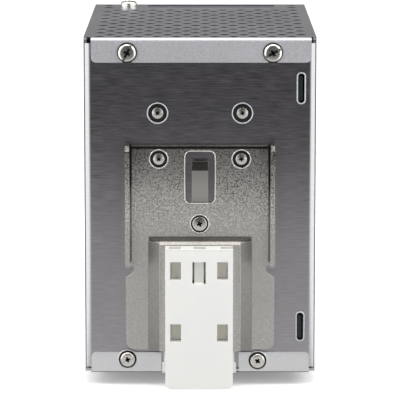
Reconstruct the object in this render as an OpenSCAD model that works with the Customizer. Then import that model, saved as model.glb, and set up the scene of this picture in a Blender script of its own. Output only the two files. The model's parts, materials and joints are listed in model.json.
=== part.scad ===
// Rail-mounted power supply with a sprung release slider and rising-clamp terminals.
// +Z is up, -Y is the terminal side and +Y the rail side. The origin is the centre of the rail seat.

/* [Case] */
// Width of the case
body_w = 85.5; // [60:0.5:120]
// Depth from the front panel to the rear panel
body_d = 128.5; // [110:0.5:150]
// Height of the case above the rail's centre line
top_z = 61.2; // [61:0.1:70]
// Depth of the case below the rail's centre line
base_z = -64; // [-70:0.1:-64]
// Thickness of the folded chassis sheet
wall_t = 1.2; // [1:0.1:1.5]
// Thickness of the two cover sheets
cover_t = 1; // [0.8:0.1:1.2]
// Outer radius of the chassis sheet's two rear bends
bend_r = 2.8; // [2:0.1:3]

/* [Vents] */
// Diameter of a vent hole
vent_d = 4; // [3:0.1:5]
// Distance between holes in a row
vent_pitch = 7.05; // [6:0.05:8]
// Distance between rows
vent_row = 6.7; // [6:0.05:8]
// Number of rows
vent_rows = 16; // [4:1:16]

/* [Rail clip] */
// Width of the bracket
bracket_w = 54.9; // [40:0.1:60]
// Thickness of the bracket sheet
bracket_t = 1.5; // [1:0.1:2]
// Width of the release slider
slider_w = 24.9; // [20:0.1:25]
// Sideways offset of the slider
slider_x = 0.35; // [-0.5:0.05:0.5]
// Width of the rail that the clip holds
rail_w = 35; // [35:1:35]

/* [Terminals] */
// Number of output poles
out_poles = 6; // [1:1:6]
// Spacing of the output poles
out_pitch = 8.5; // [8:0.1:10]
// Number of input poles
in_poles = 3; // [1:1:3]
// Spacing of the input poles
in_pitch = 9.5; // [8.5:0.1:10]

/* [Hidden] */
$fn = 48;
e = 0.01;
hw = body_w / 2;
// The rear panel's outer face stands behind the rail's seat by this much
seat = 5.5;
yb = -seat;
yf = yb - body_d;
in_top = top_z - cover_t;
in_base = base_z + cover_t;
vent_y = yb - 4;
board_x = -36.1;
board_t = 1.6;
screw_y = yb + cover_t;
block_h = 22;
block_y = yf + 1.2;
block_d = 18.8;
out_x = -4.55;
in_x = -15.3;
out_z = in_top - 0.2;
in_z = in_base + 0.2;
axis_drop = 11;
lug_z = -48;
spring_top = -28;
trim_x = -24.5;
trim_z = 24;
led_z = 12;
dark = [0.27, 0.27, 0.285];
satin = [0.71, 0.71, 0.74];
plated = [0.62, 0.61, 0.59];
nickel = [0.8, 0.79, 0.77];
black = [0.06, 0.06, 0.065];
copper = [0.72, 0.42, 0.25];
alu = [0.75, 0.75, 0.77];
board_green = [0.08, 0.24, 0.13];

function spread(n, pitch) = [for (i = [0 : n - 1]) (i - (n - 1) / 2) * pitch];

// Pin along Y from y0 to y1
module pin_y(x, z, y0, y1, r) {
    translate([x, y0, z]) rotate([-90, 0, 0]) cylinder(r = r, h = y1 - y0);
}

// Cone along Y, radius r0 at y0 and r1 at y1
module cone_y(x, z, y0, y1, r0, r1) {
    translate([x, y0, z]) rotate([-90, 0, 0]) cylinder(r1 = r0, r2 = r1, h = y1 - y0);
}

// Box from its two corners
module span(a, b) {
    translate(a) cube(b - a);
}

// Extrudes a YZ outline along X from x0
module along_x(x0, t) {
    translate([x0, 0, 0]) rotate([90, 0, 90]) linear_extrude(t) children();
}

// Extrudes an XZ outline along Y from y0
module along_y(y0, t) {
    translate([0, y0 + t, 0]) rotate([90, 0, 0]) linear_extrude(t) children();
}

// Plate in the XZ plane with rounded corners
module round_plate(x0, x1, z0, z1, y0, t, r) {
    span([x0 + r, y0, z0], [x1 - r, y0 + t, z1]);
    span([x0, y0, z0 + r], [x1, y0 + t, z1 - r]);
    for (x = [x0 + r, x1 - r]) {
        for (z = [z0 + r, z1 - r]) {
            pin_y(x, z, y0, y0 + t, r);
        }
    }
}

// Quarter bend along X about (y, z), on the side that sy and sz point to
module bend_x(x0, x1, y, z, ri, ro, sy, sz) {
    translate([x0, y, z]) intersection() {
        rotate([0, 90, 0]) difference() {
            cylinder(r = ro, h = x1 - x0);
            translate([0, 0, -1]) cylinder(r = ri, h = x1 - x0 + 2);
        }
        translate([0, sy > 0 ? 0 : -ro, sz > 0 ? 0 : -ro]) cube([x1 - x0, ro, ro]);
    }
}

// Vertical block whose two rear edges are rounded
module u_block(w, y1, r, z0, z1) {
    span([-w, yf + 1.1, z0], [w, y1 - r, z1]);
    span([r - w, yf + 1.1, z0], [w - r, y1, z1]);
    for (x = [r - w, w - r]) {
        translate([x, y1 - r, z0]) cylinder(r = r, h = z1 - z0);
    }
}

// Cross recess cut into a head along Y, from its face at y
module cross_y(x, z, y, depth, size) {
    for (a = [0, 90]) {
        translate([x, y, z]) rotate([0, a, 0]) cube([size, 2 * depth, 0.8], center = true);
    }
}

// Staggered vent holes through a cover
module vents(z) {
    for (k = [0 : vent_rows - 1]) {
        for (j = [0 : 10]) {
            translate([(k % 2 == 0 ? 36.9 : 33.2) - vent_pitch * j, vent_y - vent_row * k, z - 1])
                cylinder(d = vent_d, h = cover_t + 2, $fn = 32);
        }
    }
}

// Cover sheet with a folded rear flange; s is 1 for the top cover and -1 for the base
module cover(s, x0, x1, flange_end) {
    face = s > 0 ? top_z : base_z;
    inner = face - s * cover_t;
    bend_z = face - s * 1.5;
    span([-hw, yf, min(face, inner)], [hw, yb - 2.5, max(face, inner)]);
    span([x0, yb - 3, min(face, inner)], [x1, yb - 0.5, max(face, inner)]);
    bend_x(x0, x1, yb - 0.5, bend_z, 0.5, 1.5, 1, s);
    round_plate(x0, x1, min(flange_end, bend_z), max(flange_end, bend_z), yb, cover_t, 2);
    span([x0, yb, min(bend_z, bend_z - s * 3)], [x1, yb + cover_t, max(bend_z, bend_z - s * 3)]);
}

// Screw slot in a flange, open towards z1
module flange_slot(x, z, z1) {
    pin_y(x, z, yb - 0.5, yb + cover_t + 0.5, 1.7);
    span([x - 1.7, yb - 0.5, min(z, z1)], [x + 1.7, yb + cover_t + 0.5, max(z, z1)]);
}

// Pan-head screw along Y, head outwards at +Y
module rear_screw(x, z, y, head_d, head_h, length) {
    difference() {
        union() {
            pin_y(x, z, y, y + head_h, head_d / 2);
            pin_y(x, z, y - length, y + e, 1.5);
        }
        cross_y(x, z, y + head_h, 1.1, head_d * 0.55);
    }
}

// Countersunk screw along Y, head face at y and outwards at +Y
module flush_screw(x, z, y, head_d, length) {
    difference() {
        union() {
            cone_y(x, z, y - 0.9, y, 1.5, head_d / 2);
            pin_y(x, z, y - length, y - 0.9 + e, 1.5);
        }
        cross_y(x, z, y, 0.7, head_d * 0.55);
    }
}

module chassis() {
    color(dark) {
        difference() {
            u_block(hw, yb, bend_r, base_z + 1.1, in_top - 0.1);
            u_block(hw - wall_t, yb - wall_t, bend_r - wall_t, base_z, top_z);
            // Relief at the bends' ends, so that the covers' folds clear them
            span([-hw - 1, yb - bend_r, in_top - 1.1], [hw + 1, yb + 1, top_z]);
            span([-hw - 1, yb - bend_r, base_z], [hw + 1, yb + 1, in_base + 1.1]);
            round_plate(-38.3, -36, 37.1, 48, yb - 2, 3, 1.14);
            round_plate(-38.3, -36, -51.8, -41.4, yb - 2, 3, 1.14);
            for (x = [-15.6, 15.6]) {
                cone_y(x, 33.3, yb - wall_t - e, yb + e, 2.2, 3.75);
                pin_y(x, 33.3, yb - 2, yb, 1.55);
            }
            for (x = [-26.7, 26.7]) {
                pin_y(x, 55.8, yb - 2, yb + 1, 1.55);
            }
            pin_y(26.9, -58.8, yb - 2, yb + 1, 1.55);
            pin_y(-21.4, -59.35, yb - 2, yb + 1, 1.55);
            pin_y(-15.2, 16.45, yb - 2, yb + 1, 1.55);
            pin_y(15.2, 16.45, yb - 2, yb + 1, 1.55);
            pin_y(0.14, -7.7, yb - 2, yb + 1, 1.55);
            for (s = [-1, 1]) {
                for (z = [-40, 40]) {
                    translate([s * (hw + e), yf + 5, z]) rotate([0, -90 * s, 0])
                        cylinder(r1 = 2.9, r2 = 1.6, h = wall_t + 2 * e);
                }
            }
        }
        // Fixed lug that the slider's spring stands on
        span([slider_x - 2.2, yb - 0.5, lug_z - 1.2], [slider_x + 2.2, yb + 6, lug_z]);
    }
}

module top_cover() {
    color(satin) difference() {
        union() {
            cover(1, -40.8, 39.95, 52.1);
            // Upturned lip behind the terminal opening
            span([-30.3, -117.5, top_z - e], [21.2, -116.8, top_z + 0.8]);
        }
        vents(in_top);
        for (p = [[37, -120.5], [37, -128.5], [-37.2, -120.5], [-37.2, -128.5]]) {
            translate([p[0], p[1], in_top - 1]) cylinder(d = vent_d, h = 3, $fn = 32);
        }
        for (x = [-26.7, 26.7]) {
            flange_slot(x, 55.8, 50);
        }
        span([-30.3, -130.5, in_top - 1], [21.2, -117.5, top_z + 1]);
        translate([28.8, -120.5, in_top - 1]) cylinder(r = 1.7, h = 3);
    }
}

module bottom_cover() {
    color(satin) difference() {
        cover(-1, -40.5, 40.4, -56.15);
        vents(base_z);
        flange_slot(26.9, -58.8, -55);
        flange_slot(-21.4, -59.35, -55);
        cone_y(26.9, -58.8, screw_y - 0.5, screw_y + e, 2.9, 3.55);
        cone_y(-21.4, -59.35, screw_y - 0.5, screw_y + e, 2.9, 3.55);
        span([-14.4, yb - 0.05, base_z - 1], [14.4, yb + 3, -55]);
        span([-29.8, -130.5, base_z - 1], [-0.8, -117.5, in_base + 1]);
        translate([28.8, -120.5, base_z - 1]) cylinder(r = 1.7, h = 3);
    }
}

module front_panel() {
    color(satin) {
        difference() {
            span([-hw, yf, in_base + 0.1], [hw, yf + 1, in_top - 0.1]);
            span([out_x - 25.2, yf - 1, 40.5], [out_x + 25.2, yf + 2, 57.5]);
            span([in_x - 14.4, yf - 1, -60.3], [in_x + 14.4, yf + 2, -43.3]);
            pin_y(trim_x, trim_z, yf - 1, yf + 2, 3.6);
            pin_y(trim_x, led_z, yf - 1, yf + 2, 1.7);
        }
        // Side flanges behind the chassis walls
        for (s = [-1, 1]) {
            difference() {
                translate([s > 0 ? hw - 2.3 : -hw + 1.3, yf + 1 - e, -58]) cube([1, 9, 113]);
                for (z = [-40, 40]) {
                    translate([s * (hw - 3), yf + 5, z]) rotate([0, 90 * s, 0]) cylinder(r = 1.55, h = 3);
                }
            }
        }
        // Tabs that take the front screws of the covers
        for (z = [in_base + 0.1, in_top - 1.1]) {
            difference() {
                span([23.5, yf + 1 - e, z], [34, yf + 20, z + 1]);
                translate([28.8, -120.5, z - 1]) cylinder(r = 1.3, h = 3);
            }
        }
    }
}

// Closed outline of the bracket plate in X and Z, right half
function plate_half(w) = concat([[0, -54.9]],
    [for (a = [0 : 15 : 90]) [w - 3 + 3 * sin(a), -51.9 - 3 * cos(a)]],
    [[w, -28], [w - 2.95, -25.5], [w - 2.95, -23.5], [w, -23.5], [w, 21.7], [0, 21.7]]);

// Cross-section of the raised channel, k inside its outer face
module channel_section(k) {
    rise = 1.1486;
    side = 19.1 - 1.523 * k;
    low = k > 0 ? -1 : 0.7;
    high = 5.2 - k;
    polygon([for (s = [-1, 1]) for (y = s < 0 ? [low, high] : [high, low])
        [s * (side - (y - 1.5) * rise), yb + y]]);
}

// Raised channel, open at its lower end and sloped at its upper end
module channel(k) {
    n = [0.511, 0.86];
    d = [0.86, -0.511];
    p = [yb + 1.5, -12.6] - k * n;
    difference() {
        translate([0, 0, -54.9 - k]) linear_extrude(43 + k) channel_section(k);
        along_x(-30, 60) polygon([p - 8 * d, p + 12 * d, p + 12 * d + 20 * n, p - 8 * d + 20 * n]);
    }
}

module din_bracket() {
    t = bracket_t;
    hb = bracket_w / 2;
    edge = rail_w / 2;
    color(plated) {
        difference() {
            union() {
                along_y(yb, t) {
                    polygon(plate_half(hb));
                    mirror([1, 0]) polygon(plate_half(hb));
                }
                channel(0);
            }
            channel(1.3);
            round_plate(-5.5, 5.5, 0, 14, yb - 1, t + 2, 1.2);
            round_plate(-5.5, 5.5, 6, 19.3, yb - 1, t + 2, 2.5);
            span([slider_x - 6.2, yb - 1, -56], [slider_x + 6.2, yb + 6, -22]);
            for (x = [-15.2, 15.2]) {
                cone_y(x, 16.45, yb + 0.3, yb + t + e, 2, 3.45);
                pin_y(x, 16.45, yb - 1, yb + 1, 1.55);
            }
            cone_y(0.14, -7.7, yb + 0.3, yb + t + e, 2, 3.45);
            pin_y(0.14, -7.7, yb - 1, yb + 1, 1.55);
        }
        // Side flanges: rest edges below, hooks for the rail's upper edge above
        for (x = [-hb, hb - t]) {
            along_x(x, t) polygon([[yb, -23.5], [yb + 4.3, -23.5], [0, -22.3], [0, 7.5], [-0.6, 14],
                [-0.6, edge + 0.5], [1.5, edge + 0.5], [1.5, 15.8], [2, 15], [3.4, 15], [3.8, 15.5],
                [3.8, 20.3], [1.8, 22.3], [yb, 22.3]]);
        }
        // Spring tongue, bent out of the plate
        along_x(-3.05, 6.1) polygon([[yb + 0.6, -0.6], [yb + 0.6, 1], [-1.4, 12.3], [-1.15, 12.9],
            [-1.5, 13.4], [-2.6, 15.8], [-1.9, 16.1], [-0.6, 13.5], [-0.3, 12.8], [-0.6, 12],
            [yb + t, 0.6], [yb + t, -0.6]]);
    }
}

module rail_slider() {
    half = slider_w / 2;
    x = slider_x;
    edge = rail_w / 2;
    color([0.95, 0.95, 0.93]) difference() {
        union() {
            // Front plate with a lead-in ramp that snaps over the rail's lower edge
            intersection() {
                along_x(x - half, slider_w) polygon([[1.4, -68.2], [3.8, -68.2], [3.8, -16.1],
                    [1.9, -14.9], [1.4, -14.9]]);
                round_plate(x - half, x + half, -68.2, -10, 0, 5, 2);
            }
            span([x - half + 0.4, -0.15, -66.5], [x + half - 0.4, 1.4 + e, -edge - 0.2]);
            span([x - 5.9, -2, -66.5], [x + 5.9, 0, -22.2]);
            span([x - 13.1, yb + 0.3, -63.4], [x + 13.1, -1.9, -22.2]);
            span([x - 13.7, yb + 0.3, -63.4], [x + 13.7, -1.9, -59.7]);
        }
        // Pocket for the spring and the fixed lug
        span([x - 2.8, yb, lug_z - 1.8], [x + 2.8, 1, spring_top]);
        for (s = [-1, 1]) {
            span([x + s * 8.65 - 2, -1, -27.3], [x + s * 8.65 + 2, 4, -20.6]);
            span([x + s * 8.65 - 2, -1, -50.6], [x + s * 8.65 + 2, 4, -43.9]);
            span([x + s * 2.1 - 0.35, 0.5, -28.8], [x + s * 2.1 + 0.35, 4, -20.6]);
        }
        span([x - 1.8, 2.9, -28.8], [x + 1.8, 4, -20.6]);
        for (p = [[-12.2, -7.6], [-2.1, 2.3], [7, 11.4]]) {
            span([p[0], 2.1, -17.2], [p[1], 3.2, -14]);
        }
    }
}

// Point on the spring's wire axis at step i
function coil_point(i, n, turns, r, z0, z1) =
    let (a = 360 * turns * i / n)
    [slider_x + r * cos(a), -2.2 + r * sin(a), z0 + (z1 - z0) * i / n];

// Round wire swept along the coil
module coil(turns, r, wire, z0, z1) {
    n = turns * 16;
    m = 8;
    rings = [for (i = [0 : n])
        let (p = coil_point(i, n, turns, r, z0, z1), a = 360 * turns * i / n)
        for (j = [0 : m - 1])
        let (b = 360 * j / m)
        p + [cos(a) * wire * cos(b), sin(a) * wire * cos(b), wire * sin(b)]];
    sides = [for (i = [0 : n - 1]) for (j = [0 : m - 1])
        let (k = (j + 1) % m)
        [i * m + j, i * m + k, (i + 1) * m + k, (i + 1) * m + j]];
    ends = [[for (j = [0 : m - 1]) m - 1 - j], [for (j = [0 : m - 1]) n * m + j]];
    polyhedron(rings, concat(sides, ends));
}

module slider_spring() {
    color(nickel) coil(8, 2, 0.28, lug_z + 0.33, spring_top - 0.33);
}

module bracket_screws() {
    color(nickel) for (x = [-15.2, 15.2]) {
        flush_screw(x, 16.45, yb + bracket_t - 0.25, 5.8, 4);
    }
}

module bracket_centre_screw() {
    color(nickel) flush_screw(0.14, -7.7, yb + bracket_t - 0.1, 6.3, 4);
}

module heat_spreader_screws() {
    color(nickel) for (x = [-15.6, 15.6]) {
        flush_screw(x, 33.3, yb - 0.35, 5.7, 9);
    }
}

module top_rear_screws() {
    color(nickel) for (x = [-26.7, 26.7]) {
        rear_screw(x, 55.8, screw_y, 6.6, 2.2, 6);
    }
}

module bottom_rear_screws() {
    color(nickel) {
        rear_screw(26.9, -58.8, screw_y - 0.45, 5.4, 1.7, 5);
        rear_screw(-21.4, -59.35, screw_y - 0.45, 5.4, 1.7, 5);
    }
}

// Cover's front screw; s is 1 on the top and -1 underneath
module front_screw(s) {
    z = s > 0 ? top_z : base_z;
    translate([28.8, -120.5, z]) scale([1, 1, s]) difference() {
        union() {
            cylinder(r = 3.2, h = 2.6);
            translate([0, 0, -5]) cylinder(r = 1.25, h = 5 + e);
        }
        for (a = [0, 90]) {
            rotate([0, 0, a]) translate([0, 0, 2.6]) cube([3.5, 0.8, 2.4], center = true);
        }
    }
}

module top_front_screw() {
    color(nickel) front_screw(1);
}

module bottom_front_screw() {
    color(nickel) front_screw(-1);
}

module side_screws() {
    color(nickel) for (s = [-1, 1]) {
        for (z = [-40, 40]) {
            translate([s * hw, yf + 5, z]) rotate([0, -90 * s, 0]) difference() {
                union() {
                    cylinder(r1 = 2.85, r2 = 1.5, h = wall_t);
                    cylinder(r = 1.5, h = 5);
                }
                for (a = [0, 90]) {
                    rotate([0, 0, a]) cube([3, 0.7, 1.2], center = true);
                }
            }
        }
    }
}

module insulation_sheet() {
    color([0.9, 0.88, 0.8]) span([-41.4, -122, -58], [-41, -8, 56]);
}

module main_board() {
    x = board_x - board_t;
    color(board_green) {
        span([x, yf + 6, -60], [board_x, yb - wall_t - 0.5, 58]);
        // Tabs that reach through the rear panel's slots
        span([x, -9, 38.1], [board_x, yb - 0.3, 47]);
        span([x, -9, -50.8], [board_x, yb - 0.3, -42.4]);
    }
}

// Terminal housing hanging down from its wire-entry face at z = 0
module terminal_housing(n, pitch) {
    w = n * pitch + (n > 3 ? 0.5 : 1.5);
    back = block_y + block_d;
    difference() {
        union() {
            span([-w / 2, block_y, -block_h], [w / 2, back, 0]);
            children();
        }
        for (x = spread(n, pitch)) {
            span([x - 3.45, block_y + 2.6, -axis_drop - 5], [x + 3.45, block_y + 14, -axis_drop + 5]);
            span([x - 3.2, block_y + 7.7, -axis_drop], [x + 3.2, block_y + 13.4, 1]);
            pin_y(x, -axis_drop, block_y - 1, block_y + 1.9, 3);
            pin_y(x, -axis_drop, block_y, block_y + 3, 1.9);
            span([x - 2.25, block_y + 7.15, -block_h - 1], [x + 2.25, block_y + 7.95, -axis_drop]);
        }
    }
}

// Terminal screw at the housing's screw axis
module terminal_screw(x) {
    difference() {
        union() {
            pin_y(x, -axis_drop, block_y + 0.35, block_y + 1.85, 2.75);
            pin_y(x, -axis_drop, block_y + 1.8, block_y + 7, 1.5);
        }
        cross_y(x, -axis_drop, block_y + 0.35, 0.8, 3.4);
    }
}

// Cage that the screw pulls forwards to clamp the wire
module terminal_clamp(x) {
    difference() {
        span([x - 3.2, block_y + 4.9, -axis_drop - 4.5], [x + 3.2, block_y + 13.8, -axis_drop + 4.5]);
        span([x - 2.55, block_y + 6.5, -axis_drop - 5], [x + 2.55, block_y + 12.9, -axis_drop + 5]);
        pin_y(x, -axis_drop, block_y + 4, block_y + 7, 1.56);
    }
}

// Fixed contact bars that the wires are pressed against
module contact_bars(n, pitch) {
    for (x = spread(n, pitch)) {
        span([x - 2.2, block_y + 7.2, -block_h - 1], [x + 2.2, block_y + 7.9, -axis_drop + 4.5]);
    }
}

module at_output() {
    translate([out_x, 0, out_z]) children();
}

module at_input() {
    translate([in_x, 0, in_z]) mirror([0, 0, 1]) children();
}

module output_terminal_block() {
    color(black) at_output() terminal_housing(out_poles, out_pitch)
        span([board_x - out_x, block_y + 6, -20], [-25, block_y + 15, -4]);
}

module input_terminal_block() {
    color(black) at_input() terminal_housing(in_poles, in_pitch)
        span([board_x - in_x, block_y + 6, -20], [-14, block_y + 15, -4]);
}

module output_screw(i) {
    color(nickel) at_output() terminal_screw(spread(out_poles, out_pitch)[i - 1]);
}

module output_clamp(i) {
    color(nickel) at_output() terminal_clamp(spread(out_poles, out_pitch)[i - 1]);
}

module input_screw(i) {
    color(nickel) at_input() terminal_screw(spread(in_poles, in_pitch)[i - 1]);
}

module input_clamp(i) {
    color(nickel) at_input() terminal_clamp(spread(in_poles, in_pitch)[i - 1]);
}

module output_contacts() {
    color([0.8, 0.62, 0.3]) at_output() contact_bars(out_poles, out_pitch);
}

module input_contacts() {
    color([0.8, 0.62, 0.3]) at_input() contact_bars(in_poles, in_pitch);
}

module trimmer_body() {
    y = yf + 1.5;
    color([0.1, 0.2, 0.5]) difference() {
        union() {
            span([trim_x - 4.8, y, trim_z - 4.8], [trim_x + 4.8, y + 7, trim_z + 4.8]);
            span([board_x, y + 2, trim_z - 3], [trim_x - 4, y + 6, trim_z + 3]);
        }
        pin_y(trim_x, trim_z, y - 1, y + 6, 1.56);
    }
}

module trimmer_dial() {
    color([0.93, 0.93, 0.9]) difference() {
        union() {
            pin_y(trim_x, trim_z, yf - 0.3, yf + 1.4, 3.1);
            pin_y(trim_x, trim_z, yf + 1.3, yf + 6.5, 1.5);
        }
        span([trim_x - 2.4, yf - 1, trim_z - 0.4], [trim_x + 2.4, yf + 0.5, trim_z + 0.4]);
    }
}

module status_led() {
    color([0.2, 0.75, 0.25]) {
        pin_y(trim_x, led_z, yf + 0.4, yf + 6, 1.5);
        pin_y(trim_x, led_z, yf + 4.8, yf + 6, 1.9);
        translate([trim_x, yf + 0.4, led_z]) sphere(r = 1.5);
        span([board_x, yf + 6 - e, led_z - 1.3], [trim_x + 1, yf + 9, led_z + 1.3]);
    }
}

// Round part standing on the board: y, z, radius and height
module can(y, z, r, h) {
    translate([board_x, y, z]) rotate([0, 90, 0]) cylinder(r = r, h = h);
}

// Wound ring standing on the board
module wound_ring(y, z, r, wire, h) {
    translate([board_x + h, y, z]) rotate([0, 90, 0])
        rotate_extrude() translate([r, 0]) circle(r = wire, $fn = 32);
    span([board_x, y - r * 0.7, z - 2], [board_x + h, y + r * 0.7, z + 2]);
}

module bulk_capacitors() {
    color([0.1, 0.1, 0.16]) for (z = [-42, -9]) {
        can(-40, z, 15, 50);
    }
}

module transformer_core() {
    color([0.17, 0.17, 0.18]) {
        span([board_x + 2, -84, 12], [board_x + 34, -76, 44]);
        span([board_x + 2, -52, 12], [board_x + 34, -44, 44]);
        span([board_x + 2, -77, 12], [board_x + 34, -51, 16.5]);
        span([board_x + 2, -77, 39.5], [board_x + 34, -51, 44]);
    }
}

module transformer_coil() {
    color([0.85, 0.72, 0.25]) {
        span([board_x, -75.8, 17], [board_x + 4, -52.2, 39]);
        translate([board_x + 18, -75.8, 28]) rotate([-90, 0, 0]) cylinder(r = 11, h = 23.6);
    }
}

module boost_choke() {
    color(copper) wound_ring(-72, -12, 12, 5, 8);
}

module line_filter_chokes() {
    color(copper) {
        wound_ring(-101.5, -18, 8, 4, 7);
        wound_ring(-75.5, -46, 8, 4, 7);
    }
}

module film_capacitors() {
    color([0.85, 0.8, 0.2]) {
        span([board_x, -96, -56], [board_x + 20, -88, -34]);
        span([board_x, -108, -56], [board_x + 16, -100, -38]);
    }
}

module heat_spreader() {
    color(alu) {
        difference() {
            span([-24, yb - wall_t - 4.1, 24], [39.9, yb - wall_t - 0.1, 44]);
            for (x = [-15.6, 15.6]) {
                pin_y(x, 33.3, -12, -5, 1.55);
            }
        }
        span([38.2, -118, -20], [41.2, yb - wall_t - 2, 44]);
    }
}

module primary_heatsink() {
    color(alu) {
        span([board_x, -18, -58], [24, -15, 18]);
        for (z = [-55 : 8 : 17]) {
            span([board_x, -15 - e, z], [24, -9, z + 1.5]);
        }
    }
}

module power_transistors() {
    color(black) for (z = [-48, -30, -12, 6]) {
        span([-24, -22.8, z - 7], [-4, -18, z + 7]);
    }
}

module bridge_rectifier() {
    color(black) span([-2, -22.8, -20], [18, -18, 10]);
}

module output_capacitors() {
    color([0.08, 0.18, 0.12]) {
        for (z = [2, 16, 30, 44]) {
            can(-98, z, 6.25, 30);
        }
        for (z = [4, 18]) {
            can(-112, z, 6.25, 25);
        }
    }
}

module output_choke() {
    color(copper) wound_ring(-29, 36, 9, 4, 7);
}

module fuse() {
    color([0.85, 0.85, 0.8]) {
        translate([board_x + 5, -117, -35]) cylinder(r = 2.6, h = 20);
        span([board_x, -119, -35], [board_x + 3.5, -115, -15]);
    }
}

module relay() {
    color([0.15, 0.35, 0.65]) span([board_x, -63, -58], [board_x + 16, -57, -36]);
}

module control_board() {
    color(board_green) {
        span([board_x, -89.6, 2], [0, -88, 50]);
        span([board_x + 5, -88 - e, 8], [board_x + 12, -86.5, 18]);
        span([board_x + 16, -88 - e, 26], [board_x + 26, -86.5, 34]);
    }
}

chassis();
top_cover();
bottom_cover();
front_panel();
din_bracket();
rail_slider();
slider_spring();
bracket_screws();
bracket_centre_screw();
heat_spreader_screws();
top_rear_screws();
bottom_rear_screws();
top_front_screw();
bottom_front_screw();
side_screws();
insulation_sheet();
main_board();
output_terminal_block();
output_screw(1);  // output_screw_1
output_screw(2);  // output_screw_2
output_screw(3);  // output_screw_3
output_screw(4);  // output_screw_4
output_screw(5);  // output_screw_5
output_screw(6);  // output_screw_6
output_clamp(1);  // output_clamp_1
output_clamp(2);  // output_clamp_2
output_clamp(3);  // output_clamp_3
output_clamp(4);  // output_clamp_4
output_clamp(5);  // output_clamp_5
output_clamp(6);  // output_clamp_6
output_contacts();
input_terminal_block();
input_screw(1);  // input_screw_1
input_screw(2);  // input_screw_2
input_screw(3);  // input_screw_3
input_clamp(1);  // input_clamp_1
input_clamp(2);  // input_clamp_2
input_clamp(3);  // input_clamp_3
input_contacts();
trimmer_body();
trimmer_dial();
status_led();
bulk_capacitors();
transformer_core();
transformer_coil();
boost_choke();
line_filter_chokes();
film_capacitors();
heat_spreader();
primary_heatsink();
power_transistors();
bridge_rectifier();
output_capacitors();
output_choke();
fuse();
relay();
control_board();
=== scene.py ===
import json
import math

import bpy
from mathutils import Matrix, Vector


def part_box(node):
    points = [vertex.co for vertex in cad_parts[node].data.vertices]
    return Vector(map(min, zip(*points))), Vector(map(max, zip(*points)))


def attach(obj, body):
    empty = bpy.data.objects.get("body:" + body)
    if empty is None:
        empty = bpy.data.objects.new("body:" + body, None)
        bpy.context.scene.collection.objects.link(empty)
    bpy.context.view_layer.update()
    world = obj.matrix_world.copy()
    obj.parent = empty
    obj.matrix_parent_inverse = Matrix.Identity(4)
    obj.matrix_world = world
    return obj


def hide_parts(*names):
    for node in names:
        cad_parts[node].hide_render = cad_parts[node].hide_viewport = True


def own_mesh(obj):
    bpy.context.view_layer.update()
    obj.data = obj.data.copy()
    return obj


bl_info = {
    "name": "Rail power supply",
    "version": (1, 0, 0),
    "blender": (4, 5, 0),
    "location": "View3D > Sidebar > Power supply",
    "description": "Builds the looks of a rail-mounted power supply around its fixed frame",
    "category": "Object",
}

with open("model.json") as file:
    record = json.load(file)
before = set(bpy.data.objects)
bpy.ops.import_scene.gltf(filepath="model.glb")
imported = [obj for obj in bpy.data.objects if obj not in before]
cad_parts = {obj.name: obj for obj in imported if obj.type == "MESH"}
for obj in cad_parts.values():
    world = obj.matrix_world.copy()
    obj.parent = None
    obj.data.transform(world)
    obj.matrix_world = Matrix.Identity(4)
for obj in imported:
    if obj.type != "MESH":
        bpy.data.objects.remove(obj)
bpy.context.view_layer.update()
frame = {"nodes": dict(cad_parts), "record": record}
NODES = frame["nodes"]
MM = 0.001
NEAR = 1e-6  # metres; closer than this counts as the same place

# Planes of the frame, in millimetres
SHEET_BACK = -5.5  # the chassis's rear face, along Y
FLANGE_BACK = -4.5  # the covers' rear flanges, along Y
CLIP_BACK = -4  # the bracket's plate, along Y
COVER_TOP = 61.2
BASE_BOTTOM = -64
SLIDER_X = 0.35

# Screws, in metres
RIDGE_PITCH = 0.5 * MM
SUNK_RIM = 0.5 * MM
SUNK_EDGE = 0.3 * MM
SUNK_DOME = 0.35 * MM
SUNK_TOP = 0.75 * MM
SUNK_CONE = 0.85 * MM
TERMINAL_HEAD = (2.75 * MM, 1.45 * MM)  # radius and height
TERMINAL_SHANK = (1.45 * MM, 5.1 * MM)  # radius and length

UPWARD = (0, 0, 1)
BACKWARD = (0, 1, 0)
FORWARD = (0, -1, 0)
NODE_BODY = {
    node: body
    for body, members in frame["record"]["behaviour"]["bodies"].items()
    for node in members
}
NODE_SLOT = {row["node"]: row["material_slot"] for row in frame["record"]["subparts"]}


# Shader graphs


class Value:
    """An output of a shader graph; arithmetic on it adds Math nodes."""

    def __init__(self, graph, socket):
        self.graph = graph
        self.socket = socket

    def math(self, operation, *others):
        return self.graph.add("ShaderNodeMath", {"operation": operation}, [self, *others])

    def __add__(self, other):
        return self.math("ADD", other)

    __radd__ = __add__

    def __sub__(self, other):
        return self.math("SUBTRACT", other)

    def __rsub__(self, other):
        return self.graph.add("ShaderNodeMath", {"operation": "SUBTRACT"}, [other, self])

    def __mul__(self, other):
        return self.math("MULTIPLY", other)

    def __truediv__(self, other):
        return self.math("DIVIDE", other)

    def clamp(self):
        return self.graph.add("ShaderNodeClamp", {}, [self])

    def step(self, low, high):
        """0 below low and 1 above high, with a smooth change between."""
        return self.graph.add(
            "ShaderNodeMapRange", {"interpolation_type": "SMOOTHSTEP"}, [self, low, high, 0, 1]
        )

    def band(self, rise, fall):
        """1 between two soft edges, each given as where it starts and ends."""
        return self.step(*rise) * (1 - self.step(*fall))

    def size(self):
        """The value without its sign."""
        return self.math("ABSOLUTE")


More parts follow.
